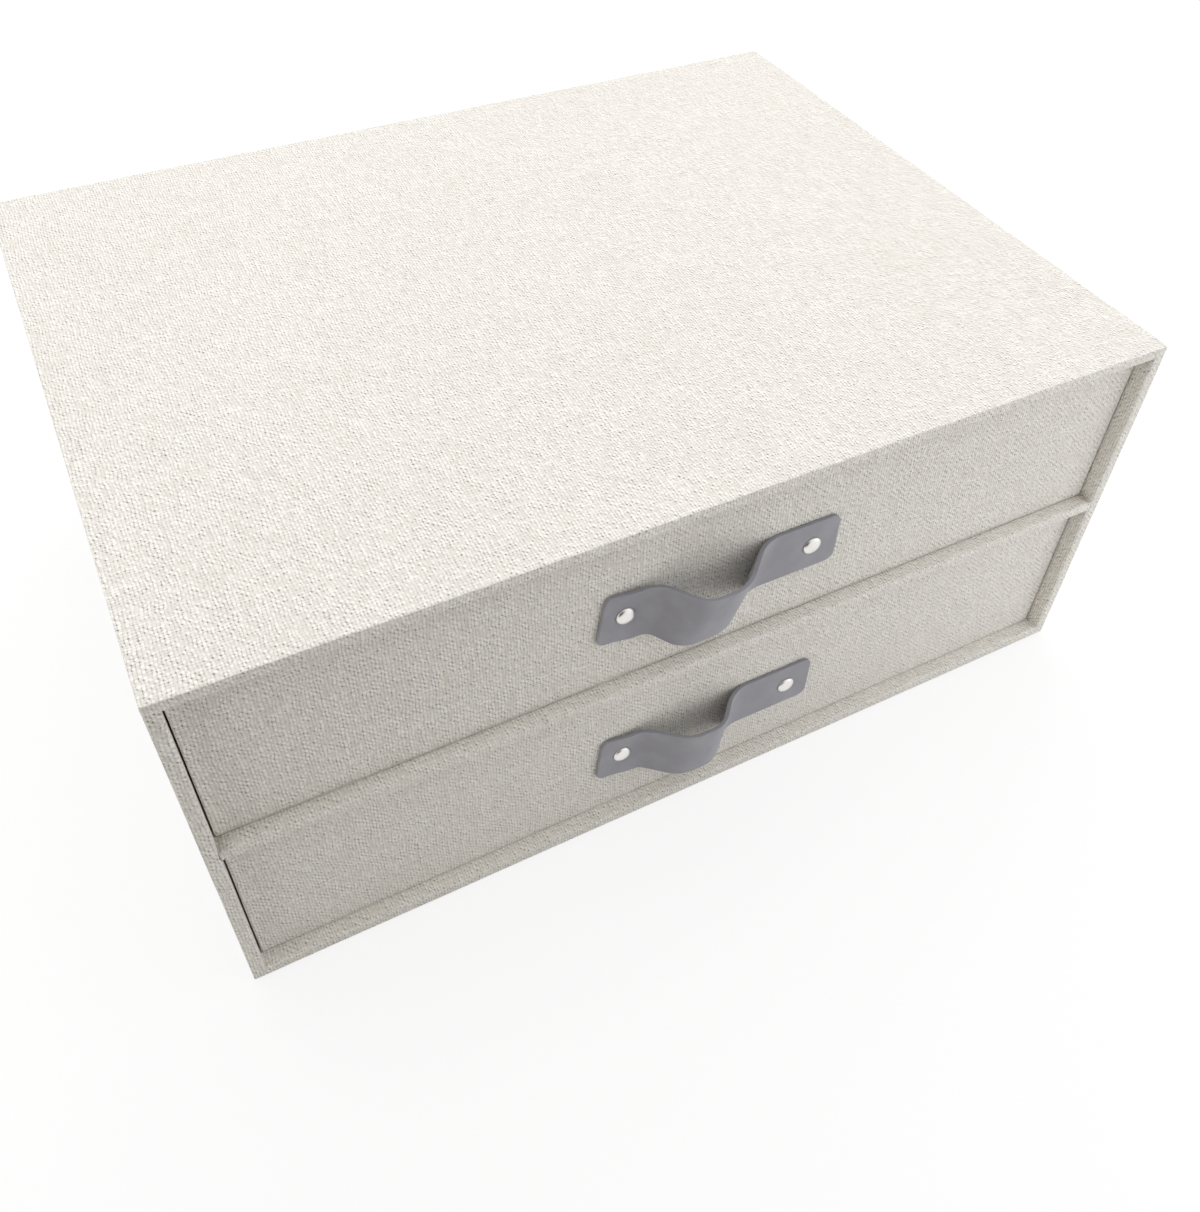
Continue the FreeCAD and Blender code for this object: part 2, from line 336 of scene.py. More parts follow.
def fine_grain_group() -> Tree:
    """Builds a soft random grain at two scales, for leather, paper, board and metal.

    Returns:
        A group that puts out a height and a slow mottling.
    """
    inputs = {"Fine Scale": 1500.0, "Coarse Scale": 160.0, "Coarse Share": 0.4}
    made = ShaderGroup("fine_grain", inputs, ("Height", "Mottle"))
    graph, given = made.graph, made.given
    place = graph.node("ShaderNodeTexCoord").outputs["Object"]
    fine = graph.noise(place, given["Fine Scale"], 3.0, 0.6)
    coarse = graph.noise(place, given["Coarse Scale"], 3.0)
    mottle = graph.noise(place, graph.times(given["Coarse Scale"], 0.25), 3.0, 0.6)
    return made.finish(Height=graph.choose(given["Coarse Share"], fine, coarse), Mottle=mottle)


# ---- finishes


class Slot(Enum):
    """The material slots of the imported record."""

    LINEN = "linen_cloth"
    BOARD = "greyboard"
    PAPER = "lining_paper"
    LEATHER = "strap_leather"
    METAL = "rivet_metal"


class Finish:
    """A material under construction, with its Principled shader."""

    def __init__(self, name: str, roughness: float, **constants: float) -> None:
        """Makes the material.

        Args:
            name: The material's name.
            roughness: The shader's roughness.
            **constants: Other shader inputs, by name with underscores for spaces.
        """
        self.material = bpy.data.materials.new(name)
        self.material.use_nodes = True
        self.graph = Graph(self.material.node_tree)
        self.shader = self.material.node_tree.nodes["Principled BSDF"]
        self.shader.inputs["Roughness"].default_value = roughness
        for title, value in constants.items():
            self.shader.inputs[title.replace("_", " ")].default_value = value

    def colour(self, value: object) -> None:
        """Feeds the base colour."""
        self.graph.feed(self.shader.inputs["Base Color"], value)

    def bump(self, height: Socket, depth: float, strength: float) -> None:
        """Raises the surface by a height from 0 to 1 times a depth in metres."""
        node = self.graph.node("ShaderNodeBump", {"Height": height, "Distance": depth, "Strength": strength})
        self.graph.feed(self.shader.inputs["Normal"], node.outputs[0])


@dataclass(frozen=True)
class LinenCloth:
    """Natural linen book cloth in a plain weave, with darker flecks and faint clouds, and painted shade in
    the gaps between its threads and on the threads of one direction where they lie on top.
    """

    weave: Tree
    grain: Tree
    pitch: float = 0.98 * MM
    relief: float = 0.22 * MM
    pale_thread: Colour = (0.96, 0.935, 0.88)
    deep_thread: Colour = (0.78, 0.745, 0.68)
    # Colour of the painted shade in the gaps between the threads.
    pore_shade: Colour = (0.15, 0.136, 0.115)
    fleck: Colour = (0.52, 0.45, 0.36)
    # How much painted shade darkens the threads of the second direction where they lie on top.
    crossing_shade: float = 0.12
    fleck_share: float = 0.4
    cloud_share: float = 0.15
    pore_shade_share: float = 0.95

    def build(self) -> Material:
        """Builds the material.

        Returns:
            The material, which takes its threads and its painted shade from the weave and its clouds from the
            grain.
        """
        made = Finish("linen_book_cloth", 0.9, Specular_IOR_Level=0.2)
        graph = made.graph
        woven = graph.group(self.weave, Pitch=self.pitch, Wander=0.5, Slubs=0.9).outputs
        mottled = graph.group(self.grain, Fine_Scale=900.0, Coarse_Scale=90.0, Coarse_Share=0.5).outputs
        # Painted shade: the threads on top in the second direction are darkened, as side light would shade
        # their floats.
        tone = graph.minus(woven["Tone"], graph.times(woven["Crossing"], self.crossing_shade))
        threads = graph.blend(graph.step(tone, 0.28, 0.66), self.deep_thread, self.pale_thread)
        flecks = graph.times(graph.step(mottled["Height"], 0.66, 0.76), self.fleck_share)
        threads = graph.blend(flecks, threads, self.fleck)
        clouds = graph.times(graph.step(mottled["Mottle"], 0.35, 0.75), self.cloud_share)
        threads = graph.blend(clouds, threads, self.deep_thread)
        # Painted shade: the gaps between the threads are darkened towards the shade colour.
        made.colour(graph.blend(graph.times(woven["Pores"], self.pore_shade_share), threads, self.pore_shade))
        made.bump(woven["Height"], self.relief, 0.8)
        return made.material


@dataclass(frozen=True)
class StrapLeather:
    """Smooth slate-grey leather, and the plain fibres of its cut edge."""

    grain: Tree
    face: Colour = (0.315, 0.312, 0.34)
    worn: Colour = (0.36, 0.357, 0.382)
    edge: Colour = (0.22, 0.215, 0.235)
    face_relief: float = 0.06 * MM
    edge_relief: float = 0.12 * MM

    def build_face(self) -> Material:
        """Builds the finished face of the leather.

        Returns:
            The material.
        """
        made = Finish("slate_leather_face", 0.5, Specular_IOR_Level=0.4)
        graph = made.graph
        skin = graph.group(self.grain, Fine_Scale=2600.0, Coarse_Scale=420.0, Coarse_Share=0.35).outputs
        made.colour(graph.blend(graph.step(skin["Mottle"], 0.35, 0.72), self.face, self.worn))
        graph.feed(made.shader.inputs["Roughness"], graph.choose(skin["Height"], 0.42, 0.62))
        made.bump(skin["Height"], self.face_relief, 0.6)
        return made.material

    def build_edge(self) -> Material:
        """Builds the dyed cut edge of the leather.

        Returns:
            The material.
        """
        made = Finish("slate_leather_edge", 0.75, Specular_IOR_Level=0.2)
        graph = made.graph
        fibre = graph.group(self.grain, Fine_Scale=3800.0, Coarse_Scale=900.0, Coarse_Share=0.5).outputs
        made.colour(graph.blend(fibre["Height"], self.edge, self.face))
        made.bump(fibre["Height"], self.edge_relief, 0.7)
        return made.material


@dataclass(frozen=True)
class RivetMetal:
    """Satin silver of the rivet caps."""

    grain: Tree
    silver: Colour = (0.86, 0.835, 0.81)
    rubbed: Colour = (0.74, 0.72, 0.70)
    relief: float = 0.01 * MM

    def build(self) -> Material:
        """Builds the material.

        Returns:
            The material.
        """
        made = Finish("satin_silver", 0.28, Metallic=1.0)
        graph = made.graph
        rub = graph.group(self.grain, Fine_Scale=5200.0, Coarse_Scale=700.0, Coarse_Share=0.5).outputs
        made.colour(graph.blend(graph.step(rub["Mottle"], 0.45, 0.7), self.silver, self.rubbed))
        graph.feed(made.shader.inputs["Roughness"], graph.choose(rub["Height"], 0.2, 0.42))
        made.bump(rub["Height"], self.relief, 0.4)
        return made.material


@dataclass(frozen=True)
class PulpSheet:
    """Matt paper or board, with fibres in it."""

    grain: Tree
    name: str
    pale: Colour
    deep: Colour
    fibre_scale: float
    relief: float
    speckle_share: float = 0.6

    def build(self) -> Material:
        """Builds the material.

        Returns:
            The material.
        """
        made = Finish(self.name, 0.9, Specular_IOR_Level=0.25)
        graph = made.graph
        pulp = graph.group(self.grain, Fine_Scale=self.fibre_scale * 4, Coarse_Scale=self.fibre_scale).outputs
        speckle = graph.times(graph.step(pulp["Height"], 0.4, 0.62), self.speckle_share)
        tone = graph.plus(speckle, graph.times(pulp["Mottle"], 1 - self.speckle_share))
        made.colour(graph.blend(tone, self.deep, self.pale))
        made.bump(pulp["Height"], self.relief, 0.6)
        return made.material


class Finishes:
    """Every material of the box, built once."""

    def __init__(self) -> None:
        """Builds the shared groups, then each material."""
        weave, grain = PlainWeave().build(), fine_grain_group()
        paper = PulpSheet(grain, "lining_paper", (0.80, 0.78, 0.73), (0.72, 0.70, 0.645), 620.0, 0.03 * MM)
        board = PulpSheet(grain, "greyboard", (0.43, 0.41, 0.38), (0.27, 0.255, 0.235), 380.0, 0.08 * MM)
        self.leather_edge = StrapLeather(grain).build_edge()
        self.by_slot = {
            Slot.LINEN: LinenCloth(weave, grain).build(),
            Slot.BOARD: board.build(),
            Slot.PAPER: paper.build(),
            Slot.LEATHER: StrapLeather(grain).build_face(),
            Slot.METAL: RivetMetal(grain).build(),
        }

    def dress_nodes(self) -> None:
        """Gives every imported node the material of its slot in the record."""
        for part in frame["record"]["subparts"]:
            shown = frame["nodes"][part["node"]]
            for held in shown.material_slots:
                held.material = self.by_slot[Slot(part["material_slot"])]


# ---- mesh makers


def linked(name: str, data: bpy.types.ID) -> Piece:
    """Makes an object at the origin from its data and links it to the scene."""
    made = bpy.data.objects.new(name, data)
    bpy.context.scene.collection.objects.link(made)
    return made


def close_up(made: Piece) -> None:
    """Merges a mesh's doubles, turns its faces outwards and shades it smooth."""
    shell = bmesh.new()
    shell.from_mesh(made.data)
    bmesh.ops.remove_doubles(shell, verts=shell.verts, dist=WELD)
    bmesh.ops.recalc_face_normals(shell, faces=shell.faces)
    shell.to_mesh(made.data)
    shell.free()
    made.data.shade_smooth()


def put_on(made: Piece, body: str, slot: Slot, *nodes: str) -> None:
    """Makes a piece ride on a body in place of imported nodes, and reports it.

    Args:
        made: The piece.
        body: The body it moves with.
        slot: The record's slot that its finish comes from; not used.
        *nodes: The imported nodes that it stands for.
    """
    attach(made, body)
    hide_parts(*nodes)
    LOG.info("%s: %d faces, rides on %s for %s", made.name, len(made.data.polygons), body, ", ".join(nodes))


def clamped(value: float) -> float:
    """Keeps a value between 0 and 1."""
    return min(max(value, 0.0), 1.0)


def arc(centre: Flat, radius: float, start: float, end: float, steps: int = 4) -> list[Flat]:
    """Points of an arc from one angle to another, both ends included."""
    turns = [math.radians(start + (end - start) * step / steps) for step in range(steps + 1)]
    return [(centre[0] + radius * math.cos(turn), centre[1] + radius * math.sin(turn)) for turn in turns]


def fall_of_round(radius: float, distance: float) -> float:
    """How far a rounded edge falls below its face, at a distance of up to its radius from its end."""
    return radius - math.sqrt(max(0.0, radius * radius - (radius - distance) ** 2))


def waved(point: Vector) -> Vector:
    """A point of cloth, moved very slightly by slow waves."""
    return point + noise.noise_vector(point / WAVE_LENGTH) * WAVE_HEIGHT


def divided(start: Flat, end: Flat, length: float) -> list[Flat]:
    """Divides a straight run evenly, and once more close to each end.

    Args:
        start: The run's first point.
        end: Its last point.
        length: The length that the number of divisions comes from.

    Returns:
        The points between the first and the last.
    """
    count, hold = max(1, round(length / SPACING)), HOLD / length
    shares = [hold, *(step / count for step in range(1, count)), 1 - hold]
    return [tuple(a + (b - a) * share for a, b in zip(start, end)) for share in shares]


@dataclass(frozen=True)
class RoundedRectangle:
    """A rectangle with rounded corners and divided sides."""

    low: Flat
    high: Flat
    corner_radius: float
    least_radius: float = 0.15 * MM

    def ring(self, inset: float) -> list[Flat]:
        """Goes once round the rectangle.

        Args:
            inset: How far inside its sides the points lie.

        Returns:
            The points, as many at every inset.
        """
        radius = max(self.corner_radius - inset, self.least_radius)
        near_x, near_y = [low + inset + radius for low in self.low]
        far_x, far_y = [high - inset - radius for high in self.high]
        centres = ((far_x, near_y), (far_x, far_y), (near_x, far_y), (near_x, near_y))
        corners = [arc(spot, radius, turn, turn + 90) for spot, turn in zip(centres, (-90, 0, 90, 180))]
        lengths = [self.high[axis] - self.low[axis] for axis in (1, 0, 1, 0)]
        points = []
        for corner, following, length in zip(corners, corners[1:] + corners[:1], lengths):
            points += corner + divided(corner[-1], following[0], length)
        return points


class Loft:
    """A solid under construction from rings of points, each joined to the next."""

    def __init__(self) -> None:
        """Starts without a ring."""
        self.points: list[Vector] = []
        self.rings: list[range] = []

    def add(self, ring: list[Vector]) -> None:
        """Adds the next ring, which has as many points as the others."""
        first = len(self.points)
        self.points += ring
        self.rings.append(range(first, len(self.points)))

    def make(self, name: str, closed: bool, *materials: Material) -> Piece:
        """Makes a smooth-shaded object whose faces point outwards.

        Args:
            name: The object's name.
            closed: Whether the last ring joins the first. If not, a face closes each of the two.
            *materials: The object's material slots.

        Returns:
            The object, at the origin.
        """
        rings, faces = self.rings, []
        for near, far in zip(rings, rings[1:] + rings[:1] if closed else rings[1:]):
            for here, there in zip(range(len(near)), [*range(1, len(near)), 0]):
                faces.append((near[here], near[there], far[there], far[here]))
        if not closed:
            faces += [tuple(rings[0]), tuple(rings[-1])]
        mesh = bpy.data.meshes.new(name)
        mesh.from_pydata(self.points, [], faces)
        for material in materials:
            mesh.materials.append(material)
        made = linked(name, mesh)
        close_up(made)
        return made


@dataclass
class WrappedFrame:
    """A sheet wrapped round a rectangular frame: a closed section carried round a rectangle.

    A point of the section is (inset, level): how far inside the rectangle's sides it lies, and its
    place along the frame's axis. Its first points are the face that shows.
    """

    name: str
    outline: RoundedRectangle
    face: list[Flat]
    hidden: list[Flat]
    place: Callable[[float, float, float], Vector]

    def divided_face(self) -> list[Flat]:
        """Divides the face's long runs.

        Returns:
            All the face's points.
        """
        points = [self.face[0]]
        for start, end in zip(self.face, self.face[1:]):
            length = math.dist(start, end)
            if length > 4 * HOLD:
                points += divided(start, end, length)
            points.append(end)
        return points

    def build(self, material: Material) -> Piece:
        """Makes the object, with the face of the sheet very slightly wavy.

        Args:
            material: The sheet's finish.

        Returns:
            The object.
        """
        face, loft = self.divided_face(), Loft()
        for number, (inset, level) in enumerate(face + self.hidden):
            ring = [self.place(across, up, level) for across, up in self.outline.ring(inset)]
            loft.add([waved(point) for point in ring] if number < len(face) else ring)
        return loft.make(self.name, True, material)


# ---- the case


@dataclass
class CaseCovering:
    """The cloth of the case: the wrap with its turned-in edges, the shelf's edge strip, the back panel."""

    finishes: Finishes
    wall: float = 4.2 * MM
    turn_in: float = 15 * MM
    outer_round: float = 0.4 * MM
    inner_round: float = 0.9 * MM
    panel_round: float = 0.25 * MM
    panel_rim: float = 0.4 * MM

    def __post_init__(self) -> None:
        """Picks the finish of all three pieces."""
        self.linen = self.finishes.by_slot[Slot.LINEN]

    def build(self) -> None:
        """Builds the pieces and puts them on the case."""
        self.wrap()
        self.shelf_strip()
        self.back_panel()

    def wrap(self) -> None:
        """Builds the cloth wrapped round the case, from its back lap to the turn-in in the mouth."""
        low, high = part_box("case_outer_cloth")
        front, back = low.y, high.y
        edge, lip = self.outer_round, self.inner_round
        face = [(self.turn_in, back)]
        face += arc((edge, back - edge), edge, 90, 180)
        face += arc((edge, front + edge), edge, 180, 270)
        face += arc((self.wall - lip, front + lip), lip, 270, 360)
        face += [(self.wall, front + self.turn_in)]
        hidden = [
            (self.wall - CLOTH, front + self.turn_in),
            (self.wall - CLOTH, front + CLOTH),
            (CLOTH, front + CLOTH),
            (CLOTH, back - CLOTH),
            (self.turn_in, back - CLOTH),
        ]
        outline = RoundedRectangle((low.x, low.z), (high.x, high.z), edge)
        wrap = WrappedFrame("case_wrap", outline, face, hidden, self.upright).build(self.linen)
        put_on(wrap, "case", Slot.LINEN, "case_outer_cloth")

    def upright(self, across: float, up: float, level: float) -> Vector:
        """A point of the case, whose sections' axis runs from front to back."""
        return Vector((across, level, up))

    def shelf_strip(self) -> None:
        """Builds the strip of cloth folded over the shelf's front edge."""
        low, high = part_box("shelf_edge_cloth")
        lip = self.inner_round
        after_fold = low.y + lip + HOLD
        section = [(high.y, high.z), (after_fold, high.z)]
        section += arc((low.y + lip, high.z - lip), lip, 90, 180)
        section += arc((low.y + lip, low.z + lip), lip, 180, 270)
        section += [(after_fold, low.z), (high.y, low.z), (high.y, low.z + CLOTH)]
        section += [(low.y + CLOTH, low.z + CLOTH), (low.y + CLOTH, high.z - CLOTH), (high.y, high.z - CLOTH)]
        count, loft = round((high.x - low.x) / SPACING), Loft()
        for station in range(count + 1):
            x = low.x + (high.x - low.x) * station / count
            loft.add([waved(Vector((x, y, z))) for y, z in section])
        put_on(loft.make("shelf_edge_strip", False, self.linen), "case", Slot.LINEN, "shelf_edge_cloth")

    def back_panel(self) -> None:
        """Builds the inlaid panel of cloth on the back, with softened edges."""
        low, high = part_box("case_back_cloth")
        soft = self.panel_round
        levels = [(0.0, low.y), *arc((soft, high.y - soft), soft, 180, 90), (soft + self.panel_rim, high.y)]
        outline = RoundedRectangle((low.x, low.z), (high.x, high.z), soft)
        loft = Loft()
        for inset, level in levels:
            loft.add([self.upright(across, up, level) for across, up in outline.ring(inset)])
        put_on(loft.make("back_panel", False, self.linen), "case", Slot.LINEN, "case_back_cloth")


# ---- the drawers


@dataclass
class DrawerCloth:
    """The cloth round a drawer: up its outside, over the rim and a little way down the inside."""

    drawer: str
    finishes: Finishes
    wall: float = 3.7 * MM
    turn_in: float = 12 * MM
    rim_round: float = 0.9 * MM
    corner_round: float = 0.8 * MM
    fold_swell: float = 0.45 * MM
    swell_length: float = 7 * MM

    def __post_init__(self) -> None:
        """Reads where the cloth lies from its node's box."""
        self.low, self.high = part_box(f"{self.drawer}_cloth")

    def build(self) -> None:
        """Builds the cloth and puts it on its drawer."""
        low, high, rim = self.low, self.high, self.rim_round
        face = [(0.0, low.z)]
        face += arc((rim, high.z - rim), rim, 180, 90)
        face += arc((self.wall - rim, high.z - rim), rim, 90, 0)
        face += [(self.wall, high.z - self.turn_in)]
        hidden = [
            (self.wall - CLOTH, high.z - self.turn_in),
            (self.wall - CLOTH, high.z - CLOTH),
            (CLOTH, high.z - CLOTH),
            (CLOTH, low.z),
        ]
        outline = RoundedRectangle((low.x, low.y), (high.x, high.y), self.corner_round)
        wrapped = WrappedFrame(f"{self.drawer}_wrap", outline, face, hidden, self.swollen)
        cloth = wrapped.build(self.finishes.by_slot[Slot.LINEN])
        put_on(cloth, self.drawer, Slot.LINEN, f"{self.drawer}_cloth")

    def swollen(self, across: float, deep: float, level: float) -> Vector:
        """Places a point so that the sides stand a little proud where they fold round the front.

        Args:
            across: Its X before it swells.
            deep: Its Y.
            level: Its Z.

        Returns:
            The point.
        """
        middle = 0.5 * (self.low.x + self.high.x)
        share = max(0.0, 1 - (deep - self.low.y) / self.swell_length)
        outward = (across - middle) / (self.high.x - middle)
        return Vector((across + self.fold_swell * share * outward, deep, level))


@dataclass(frozen=True)
class Loop:
    """How a strap bows forward: its bends from left to right, how its top edge leans and lags, how far
    its left end is cut back at the top, and how far its crest stays behind its node's front."""

    lead: float
    left_slope: float
    crest: float
    right_slope: float
    radii: tuple[float, ...]
    lean: float
    lag: float
    cut_back: float
    held_back: float


UPPER_LOOP = Loop(
    lead=4.6 * MM,
    left_slope=58.0,
    crest=15.4 * MM,
    right_slope=42.0,
    radii=(8 * MM, 9 * MM, 16 * MM, 14 * MM),
    lean=8.0,
    lag=2.6 * MM,
    cut_back=3.0 * MM,
    held_back=0.0,
)
LOWER_LOOP = Loop(
    lead=2.6 * MM,
    left_slope=42.0,
    crest=13.9 * MM,
    right_slope=48.0,
    radii=(6.5 * MM, 13.5 * MM, 11 * MM, 13 * MM),
    lean=1.5,
    lag=1.3 * MM,
    cut_back=2.0 * MM,
    held_back=0.9 * MM,
)


@dataclass
class PullStrap:
    """A leather pull that lies flat at both ends and bows forward between its rivets."""

    drawer: str
    finishes: Finishes
    loop: Loop
    thickness: float = 1.5 * MM
    end_round: float = 3.5 * MM
    rivet_inset: float = 9.75 * MM
    cap_radius: float = 3.3 * MM
    eased: float = 0.35 * MM
    eased_rows: tuple[float, ...] = (0.0, 0.15, 0.5, 1.0)
    dimple: float = 0.2 * MM
    dimple_length: float = 1.1 * MM
    spring: float = 1.3 * MM
    spring_length: float = 5.5 * MM
    lag_length: float = 15.0 * MM
    spacing: float = 0.8 * MM
    bend_steps: int = 24
    bend_room: float = 0.45
    cut_side: float = 0.3
    cut_end: float = 0.12

    def __post_init__(self) -> None:
        """Reads where the strap lies from its node's box."""
        self.low, self.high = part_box(f"{self.drawer}_strap")
        self.half = (self.high.z - self.low.z) / 2
        self.middle = (self.high.z + self.low.z) / 2
        self.flat = self.high.y - self.thickness
        self.rivets = (self.low.x + self.rivet_inset, self.high.x - self.rivet_inset)
        self.rows = self.divided_width()

    def outer_line(self) -> list[Vector]:
        """Draws the outer face's line from end to end.

        Returns:
            Closely spaced points, seen from above.
        """
        loop, flat = self.loop, self.flat
        reach = flat - self.low.y - loop.held_back
        crest = flat - reach
        foot = self.rivets[0] + self.cap_radius + loop.lead
        shoulder = foot + reach / math.tan(math.radians(loop.left_slope))
        far_shoulder = shoulder + loop.crest
        far_foot = far_shoulder + reach / math.tan(math.radians(loop.right_slope))
        corners = [(self.low.x, flat), (foot, flat), (shoulder, crest)]
        corners += [(far_shoulder, crest), (far_foot, flat), (self.high.x, flat)]
        corners = [Vector((x, y, 0)) for x, y in corners]
        line = [corners[0]]
        for before, corner, after, radius in zip(corners, corners[1:], corners[2:], loop.radii):
            line += self.bend(before, corner, after, radius)
        return line + [corners[-1]]

    def bend(self, before: Vector, corner: Vector, after: Vector, radius: float) -> list[Vector]:
        """Rounds a corner of the line.

        Args:
            before: The corner before it.
            corner: The corner.
            after: The corner after it.
            radius: The bend's radius, where there is room for it.

        Returns:
            Points along the bend.
        """
        back, onward = before - corner, after - corner
        half_turn = (math.pi - back.angle(onward)) / 2
        room = self.bend_room * min(back.length, onward.length)
        trim = min(radius * math.tan(half_turn), room)
        fitted = trim / math.tan(half_turn)
        start = corner + back.normalized() * trim
        end = corner + onward.normalized() * trim
        inward = (back.normalized() + onward.normalized()).normalized()
        centre = corner + inward * (fitted / math.cos(half_turn))
        side = (end - start).normalized()
        points = []
        for step in range(self.bend_steps + 1):
            turn = half_turn * (2 * step / self.bend_steps - 1)
            points.append(centre - inward * fitted * math.cos(turn) + side * fitted * math.sin(turn))
        return points

    def stations(self) -> list[tuple[float, Vector, Vector]]:
        """Finds the places along the line where the strap's section is set.

        Returns:
            For each place, how far it is from the nearer end, its point, and the direction outwards.
        """
        line = self.outer_line()
        lengths = [0.0]
        for start, end in zip(line, line[1:]):
            lengths.append(lengths[-1] + (end - start).length)
        total, margin = lengths[-1], 2 * self.eased
        close = [share * self.eased for share in self.eased_rows] + [margin]
        count = round((total - 2 * margin) / self.spacing)
        middle = [margin + (total - 2 * margin) * step / count for step in range(1, count)]
        found = []
        for run in close + middle + [total - near for near in reversed(close)]:
            index = min(max(0, sum(length < run for length in lengths) - 1), len(line) - 2)
            start, end = line[index], line[index + 1]
            share = (run - lengths[index]) / (lengths[index + 1] - lengths[index])
            along = (end - start).normalized()
            found.append((min(run, total - run), start.lerp(end, share), Vector((along.y, -along.x, 0))))
        return found

    def divided_width(self) -> list[float]:
        """Divides the strap's width, closely along its eased edges.

        Returns:
            The rows' heights over the middle line, from the bottom edge up.
        """
        inside = self.half - 2 * self.eased
        count = round(2 * inside / self.spacing)
        close = [self.half - share * self.eased for share in self.eased_rows]
        inner = [inside * (2 * row / count - 1) for row in range(count + 1)]
        return [-height for height in close] + inner + close[::-1]

    def half_width(self, end: float) -> float:
        """Half the strap's width at a distance from its nearer end, whose corners are round."""
        return self.half - fall_of_round(self.end_round, min(end, self.end_round))

    def aside(self, x: float, share: float) -> float:
        """How far right a point is moved, by the loop's lag and the left end's cut.

        Args:
            x: The point's place along the strap.
            share: Its height over the middle line, as a share of half the width.

        Returns:
            The distance.
        """
        ease = clamped(min(x - self.rivets[0], self.rivets[1] - x) / self.lag_length)
        lag = self.loop.lag * share * ease * ease * (3 - 2 * ease)
        near_end = 1 - (x - self.low.x) / (self.rivet_inset - self.cap_radius)
        return lag + self.loop.cut_back * (share + 1) / 2 * clamped(near_end)

    def forward(self, point: Vector, level: float) -> float:
        """How far forward a point is moved, by the loop's lean and the edges' curl beside the rivet.

        Args:
            point: The point of the outer line that it belongs to.
            level: Its height over the middle line.

        Returns:
            The distance.
        """
        past_cap = (point.x - self.rivets[0] - self.cap_radius) / self.spring_length
        curl = self.spring * (level / self.half) ** 2 * math.exp(-(past_cap**2))
        bow = clamped((self.flat - point.y) / (self.flat - self.low.y))
        return curl + bow * level * math.tan(math.radians(self.loop.lean))

    def section(self, end: float, point: Vector, outwards: Vector) -> list[Vector]:
        """Sets the strap's section at a station.

        Args:
            end: How far the station is from the nearer end.
            point: The station's point of the outer line.
            outwards: The direction outwards there.

        Returns:
            The outer face's points from the bottom edge up, then the inner face's back down.
        """
        tight = self.half_width(end)
        outer, under = [], []
        for row in self.rows:
            level = row * tight / self.half
            ease = fall_of_round(self.eased, min(end, tight - abs(level), self.eased))
            clear = min(math.hypot(point.x - x, level) for x in self.rivets) - self.cap_radius
            press = self.dimple * math.exp(-((max(clear, 0.0) / self.dimple_length) ** 2))
            aside = self.aside(point.x, level / self.half)
            moved = Vector((aside, -self.forward(point, level), self.middle + level))
            outer.append(point - outwards * (ease + press) + moved)
            under.append(point - outwards * (self.thickness - ease) + moved)
        return outer + under[::-1]

    def build(self) -> None:
        """Builds the strap and puts it on its drawer."""
        loft = Loft()
        for end, point, outwards in self.stations():
            loft.add(self.section(end, point, outwards))
        leather, cut = self.finishes.by_slot[Slot.LEATHER], self.finishes.leather_edge
        strap = loft.make(f"{self.drawer}_pull", False, leather, cut)
        self.mark_cut_edges(strap)
        put_on(strap, self.drawer, Slot.LEATHER, f"{self.drawer}_strap")

    def mark_cut_edges(self, strap: Piece) -> None:
        """Gives the faces along the strap's cut edges their own finish.

        Args:
            strap: The strap.
        """
        for face in strap.data.polygons:
            x, _, z = face.center
            end = max(0.0, min(x - self.low.x, self.high.x - x))
            on_side = abs(z - self.middle) > self.half_width(end) - self.cut_side * self.eased
            face.material_index = int(on_side or end < self.cut_end * self.eased)


